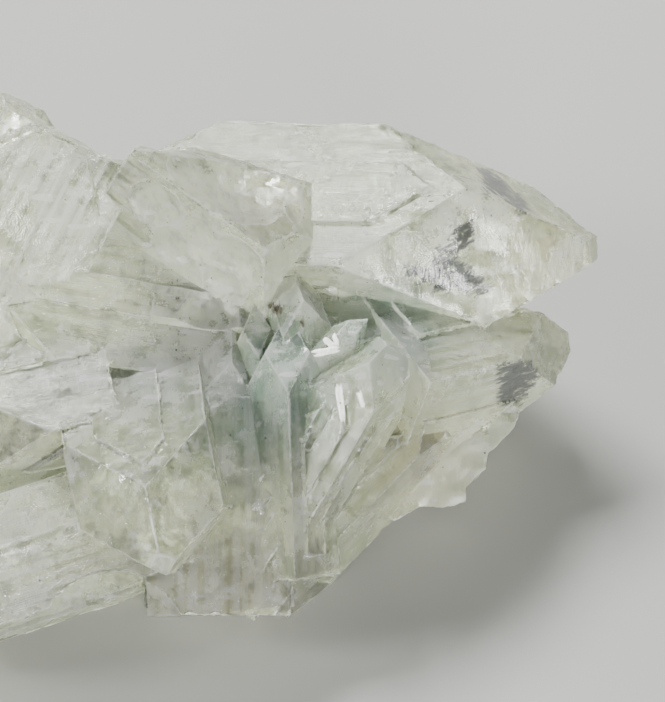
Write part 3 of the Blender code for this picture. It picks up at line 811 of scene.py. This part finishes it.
# Veils, the healed cracks inside the crystals. Crystal, distance behind its tip, turn, slant and radii, in
# millimetres and degrees.
VEIL_HALF_THICKNESS = 0.03
VEILS = [
    ("east_upper", 9.0, 20, 8, (3.0, 2.2)), ("east_upper", 15.0, 200, 25, (7.0, 4.5)),
    ("east_upper", 22.0, 80, 70, (8.0, 3.0)), ("east_upper", 30.0, 120, 12, (7.5, 6.5)),
    ("east_upper", 38.0, 300, 75, (9.0, 4.0)), ("east_lower", 10.0, 30, 15, (3.2, 2.8)),
    ("east_lower", 15.0, 150, 70, (6.0, 3.0)), ("south_main", 9.0, 60, 20, (2.9, 2.2)),
    ("south_main", 13.0, 10, 65, (6.0, 4.5)), ("south_main", 20.0, 200, 10, (6.0, 6.0)),
    ("west_tall", 30.0, 30, 78, (8.0, 3.5)), ("west_tall", 27.0, 250, 10, (7.0, 6.5)),
    ("west_tall", 34.0, 120, 60, (8.0, 5.0)), ("north_mid", 24.0, 60, 30, (5.5, 4.5)),
    ("north_mid", 30.0, 200, 70, (4.4, 3.0)), ("south_west", 24.0, 80, 72, (5.8, 2.6)),
    ("south_west", 30.0, 20, 12, (5.5, 5.5)), ("west_mid", 17.0, 45, 25, (6.0, 5.0)),
    ("south_low", 28.0, 15, 74, (5.0, 2.2)), ("south_low", 33.0, 160, 20, (5.5, 5.0)),
    ("south_east", 12.0, 30, 70, (4.0, 2.2)), ("south_east_low", 14.0, 210, 68, (3.7, 1.9)),
    ("east_inner", 16.0, 20, 30, (4.0, 3.5)), ("back_mid", 18.0, 30, 30, (6.0, 5.0)),
    ("back_west", 16.0, 130, 60, (6.0, 4.5)), ("back_east", 16.0, 230, 40, (5.0, 4.5)),
    ("west_upper", 14.0, 10, 65, (6.0, 4.0)),
]


def veil(crystal, behind, turn, slant, radii, seed, rings=15, around=44):
    """A thin closed lens across a crystal: rings of an ellipse whose rim wanders by two waves round it,
    1 + 0.2 sin 3a sin 2a + 0.06 sin 11a, carried from one pole over the rim to the other. Each side is
    VEIL_HALF_THICKNESS (1 - r^2) off a sheet, and the sheet is bent by two slow waves."""
    tip, heading, tilt, roll = CRYSTALS[crystal][:4]
    turn, slant = math.radians(turn), math.radians(slant)
    across = np.array([math.cos(turn), math.sin(turn), 0.0])
    other = np.array([-math.sin(turn) * math.cos(slant), math.cos(turn) * math.cos(slant), math.sin(slant)])
    sweep = np.linspace(1.0, -1.0, 2 * rings + 1)[1:-1, None]
    r = 1 - np.abs(sweep)
    angle = np.linspace(0, 2 * np.pi, around, endpoint=False)[None, :]
    rim = 1 + 0.2 * np.sin(3 * angle + seed) * np.sin(2 * angle - seed) + 0.06 * np.sin(11 * angle + seed)
    x = r * radii[0] * rim * np.cos(angle)
    y = r * radii[1] * rim * np.sin(angle)
    x, y = (np.append(v.ravel(), (0.0, 0.0)) for v in (x, y))
    side = np.append(np.repeat(np.sign(sweep) * (1 - r ** 2), around), (1.0, -1.0)) * VEIL_HALF_THICKNESS
    bend = 0.5 * np.sin(x * 0.5 + seed) * np.cos(y * 0.6 - seed) + 0.12 * np.sin(x * 1.9 + y * 1.3 + seed)
    local = x[:, None] * across + y[:, None] * other + (side + bend)[:, None] * np.cross(across, other)
    local[:, 2] -= behind
    return placed(tip) + local @ crystal_axes(heading, tilt, roll).T * MM, ring_faces(2 * rings - 1, around)


def veil_white():
    """Healed cracks: a white film broken into flecks and patches, clear between them."""
    made, w, shader, place = new_look("veil_white")
    shader.inputs["Base Color"].default_value = VEIL_FILM
    shader.inputs["Roughness"].default_value = 0.4
    patches = w.ramp(w.noise(place, 260.0, 5.0, 0.75), 0.50, 0.66)
    w.plug(w.math("MULTIPLY", patches, 0.75), shader.inputs["Alpha"])
    return made


def floor():
    """The plain pale table: a flat square grid, its height zero everywhere."""
    side = np.linspace(-1.6, 1.6, 3)
    x, y = np.meshgrid(side, side)
    verts = np.stack([x.ravel(), y.ravel(), np.zeros(9)], 1)
    faces = [(i + j * 3, i + 1 + j * 3, i + 4 + j * 3, i + 3 + j * 3) for j in range(2) for i in range(2)]
    mesh = bpy.data.meshes.new("table")
    mesh.from_pydata(verts, [], faces)
    table = bpy.data.objects.new("table", mesh)
    bpy.context.scene.collection.objects.link(table)
    made = bpy.data.materials.new("table_grey")
    made.use_nodes = True
    shader = made.node_tree.nodes["Principled BSDF"]
    shader.inputs["Base Color"].default_value = TABLE_GREY
    shader.inputs["Roughness"].default_value = 0.7
    mesh.materials.append(made)


# Light panels: name, place, size and power. They face LIGHT_AIM, the middle of the specimen.
LIGHT_PANELS = [
    ("high_panel", (-0.16, 0.50, 0.61), (0.28, 0.20), 19.5),
    ("left_panel", (-0.75, -0.1, 0.45), (0.20, 0.28), 9.5),
    ("viewer_panel", (0.25, -0.8, 0.30), (0.45, 0.30), 16.0),
]
LIGHT_AIM = (0, 0, 0.02)
SURROUND_COLOUR = (0.78, 0.77, 0.72, 1)
SURROUND_STRENGTH = 0.24


def soft_light(name, place, size, power):
    """A large soft area light that faces the specimen."""
    data = bpy.data.lights.new(name, "AREA")
    data.shape = "RECTANGLE"
    data.size, data.size_y = size
    data.energy = power
    lamp = bpy.data.objects.new(name, data)
    lamp.location = place
    lamp.rotation_euler = (Vector(LIGHT_AIM) - Vector(place)).to_track_quat("-Z", "Y").to_euler()
    bpy.context.scene.collection.objects.link(lamp)


def studio():
    """Plain soft studio light: a high panel behind the specimen, one at the left, a wide one on the viewer's
    side, and an even surround."""
    for panel in LIGHT_PANELS:
        soft_light(*panel)
    world = bpy.data.worlds.new("surround")
    bpy.context.scene.world = world
    world.use_nodes = True
    background = world.node_tree.nodes["Background"]
    background.inputs["Color"].default_value = SURROUND_COLOUR
    background.inputs["Strength"].default_value = SURROUND_STRENGTH


def camera():
    """The photograph's view: LOOK_DOWN above the table, on the display origin."""
    data = bpy.data.cameras.new("view")
    data.sensor_width = 36.0
    data.lens = 36.0 * CAMERA_DISTANCE / (PICTURE_HEIGHT * PICTURE_SCALE)
    data.clip_start = 0.01
    eye = bpy.data.objects.new("view", data)
    back = Vector((0, -math.cos(LOOK_DOWN), math.sin(LOOK_DOWN)))
    eye.location = Vector(DISPLAY_ORIGIN) + back * CAMERA_DISTANCE
    eye.rotation_mode = "QUATERNION"
    eye.rotation_quaternion = (-back).to_track_quat("-Z", "Y")
    bpy.context.scene.collection.objects.link(eye)
    bpy.context.scene.camera = eye


stone = stone_surface(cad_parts["crystal_cluster"])
stone.data.materials.append(apophyllite())
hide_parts("crystal_cluster")
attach(stone, "root")

veils = [veil(*row, seed=1.7 * number) for number, row in enumerate(VEILS)]
new_piece("inner_veils", veils, veil_white())
chalk = white_zeolite()
for splinter_name, splinter_blades in SPLINTER_BLADES.items():
    splinter(splinter_name, splinter_blades, chalk)

floor()
studio()
camera()
